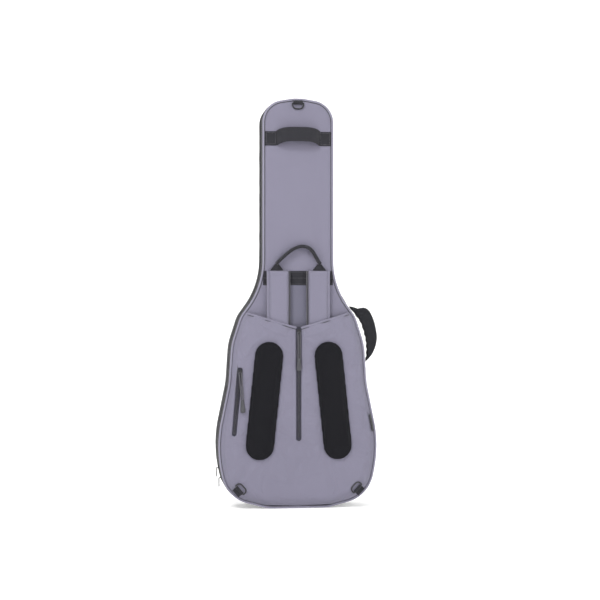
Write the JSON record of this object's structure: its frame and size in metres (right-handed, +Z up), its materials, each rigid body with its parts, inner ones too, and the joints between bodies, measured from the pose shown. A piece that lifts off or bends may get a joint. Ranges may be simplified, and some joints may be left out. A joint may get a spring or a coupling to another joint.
{
  "type": "padded guitar gig bag",
  "caption": "Padded guitar gig bag with a hinged zip lid, stowed shoulder straps, back pads, side and neck handles, D-rings and zipped pockets.",
  "frame": {"origin": "middle of the flat base, in the plane of the main zip", "axes": "+Z up along the neck, +X to the right as seen from behind, -Y out of the rear face that lies against the wearer's back"},
  "size_m": [0.4298, 0.1812, 1.09],
  "materials": {
    "grey_cloth": "woven polyester, grey with a lavender cast",
    "black_cloth": "woven polyester, black",
    "piping": "cloth-covered piping, light grey",
    "lining": "brushed plush lining",
    "webbing": "polyester webbing, ribbed",
    "neoprene": "padded mesh, matte",
    "zip_tape": "zip tape with nylon coil",
    "black_metal": "black enamel, satin",
    "pull_rubber": "moulded rubber grip and cord",
    "black_plastic": "moulded acetal, satin",
    "label_cloth": "blank woven label"
  },
  "bodies": {
    "back": {"back_pad_left": "neoprene", "back_pad_right": "neoprene", "centre_zip_tape": "zip_tape", "end_pin_block": "lining", "haul_feet": "webbing", "ladder_lock_left": "black_plastic", "ladder_lock_right": "black_plastic", "lower_ring_tab_left": "webbing", "lower_ring_tab_right": "webbing", "main_zip_tape_rear": "zip_tape", "neck_cradle": "lining", "neck_handle": "webbing", "neck_strap": "webbing", "rear_gusset": "black_cloth", "rear_lining": "lining", "rear_panel": "grey_cloth", "rear_piping": "piping", "seam_label": "label_cloth", "side_handle_anchors": "webbing", "side_pocket_liner": "lining", "side_zip_tape": "zip_tape", "snap_hook_left": "black_plastic", "snap_hook_right": "black_plastic", "spine_hinge": "black_cloth", "strap_anchor_band": "webbing", "strap_pad_left": "grey_cloth", "strap_pad_right": "grey_cloth", "strap_pocket_panel": "grey_cloth", "strap_tail_left": "webbing", "strap_tail_right": "webbing", "top_ring_tab": "webbing"},
    "lid": {"front_panel": "grey_cloth", "front_lining": "lining", "front_gusset": "black_cloth", "front_piping": "piping", "main_zip_tape_front": "zip_tape", "front_pocket": "grey_cloth", "front_zip_tape": "zip_tape"},
    "upper_slider": {"main_slider_upper": "black_metal"},
    "upper_pull": {"main_pull_upper": "black_metal"},
    "lower_slider": {"main_slider_lower": "black_metal"},
    "lower_pull": {"main_pull_lower": "black_metal"},
    "centre_slider": {"centre_zip_slider": "black_metal"},
    "centre_pull": {"centre_zip_pull": "pull_rubber"},
    "side_slider": {"side_zip_slider": "black_metal"},
    "side_pull": {"side_zip_pull": "pull_rubber"},
    "front_slider": {"front_zip_slider": "black_metal"},
    "front_pull": {"front_zip_pull": "pull_rubber"},
    "haul_loop": {"haul_loop": "webbing"},
    "top_ring": {"top_d_ring": "black_metal"},
    "lower_ring_left": {"lower_d_ring_left": "black_plastic"},
    "lower_ring_right": {"lower_d_ring_right": "black_plastic"},
    "side_handle": {"side_handle": "black_cloth"}
  },
  "joints": [
    {"name": "lid_hinge", "type": "hinge", "parent": "back", "child": "lid", "pos_m": [0.2172, 0, 0.17], "axis": [0, 0, -1], "range_deg": [0, 170]},
    {"name": "upper_slider_track", "type": "hinge", "parent": "back", "child": "upper_slider", "pos_m": [0.11588, 0, 0.16553], "axis": [0, 1, 0], "range_deg": [0, 20]},
    {"name": "upper_pull_swing", "type": "hinge", "parent": "upper_slider", "child": "upper_pull", "pos_m": [-0.21257, 0, 0.10406], "axis": [0, 1, 0], "range_deg": [0, 150]},
    {"name": "lower_slider_track", "type": "hinge", "parent": "back", "child": "lower_slider", "pos_m": [-0.10977, 0, 0.10597], "axis": [0, -1, 0], "range_deg": [0, 50]},
    {"name": "lower_pull_swing", "type": "hinge", "parent": "lower_slider", "child": "lower_pull", "pos_m": [-0.2065, 0, 0.07639], "axis": [0, 1, 0], "range_deg": [0, 80]},
    {"name": "centre_zip_travel", "type": "slide", "parent": "back", "child": "centre_slider", "axis": [0, 0, -1], "range_m": [0, 0.275]},
    {"name": "centre_pull_swing", "type": "hinge", "parent": "centre_slider", "child": "centre_pull", "pos_m": [0, -0.08225, 0.4695], "axis": [-1, 0, 0], "range_deg": [0, 160]},
    {"name": "side_zip_travel", "type": "slide", "parent": "back", "child": "side_slider", "axis": [-0.0933, 0, -0.9956], "range_m": [0, 0.155]},
    {"name": "side_pull_swing", "type": "hinge", "parent": "side_slider", "child": "side_pull", "pos_m": [-0.15607, -0.08225, 0.36355], "axis": [-0.9976, 0, -0.0698], "range_deg": [0, 160]},
    {"name": "front_zip_travel", "type": "slide", "parent": "lid", "child": "front_slider", "axis": [-1, 0, 0], "range_m": [0, 0.205]},
    {"name": "front_pull_swing", "type": "hinge", "parent": "front_slider", "child": "front_pull", "pos_m": [0.1035, 0.09225, 0.415], "axis": [1, 0, 0], "range_deg": [0, 160]},
    {"name": "haul_loop_fold", "type": "hinge", "parent": "back", "child": "haul_loop", "pos_m": [0, -0.0685, 0.653], "axis": [1, 0, 0], "range_deg": [0, 100], "stiffness_Nm_per_rad": 0.01},
    {"name": "top_ring_swing", "type": "hinge", "parent": "back", "child": "top_ring", "pos_m": [0, -0.0621, 1.0774], "axis": [-1, 0, 0], "range_deg": [0, 160]},
    {"name": "side_handle_swing", "type": "hinge", "parent": "back", "child": "side_handle", "pos_m": [0.13589, -0.033, 0.538], "axis": [0.2964, 0, -0.9551], "range_deg": [-30, 30]},
    {"name": "lower_ring_left_swing", "type": "hinge", "parent": "back", "child": "lower_ring_left", "pos_m": [-0.158, -0.0801, 0.052], "axis": [0.6691, 0, -0.7431], "range_deg": [0, 140]},
    {"name": "lower_ring_right_swing", "type": "hinge", "parent": "back", "child": "lower_ring_right", "pos_m": [0.158, -0.0801, 0.052], "axis": [0.6691, 0, 0.7431], "range_deg": [0, 140]}
  ]
}
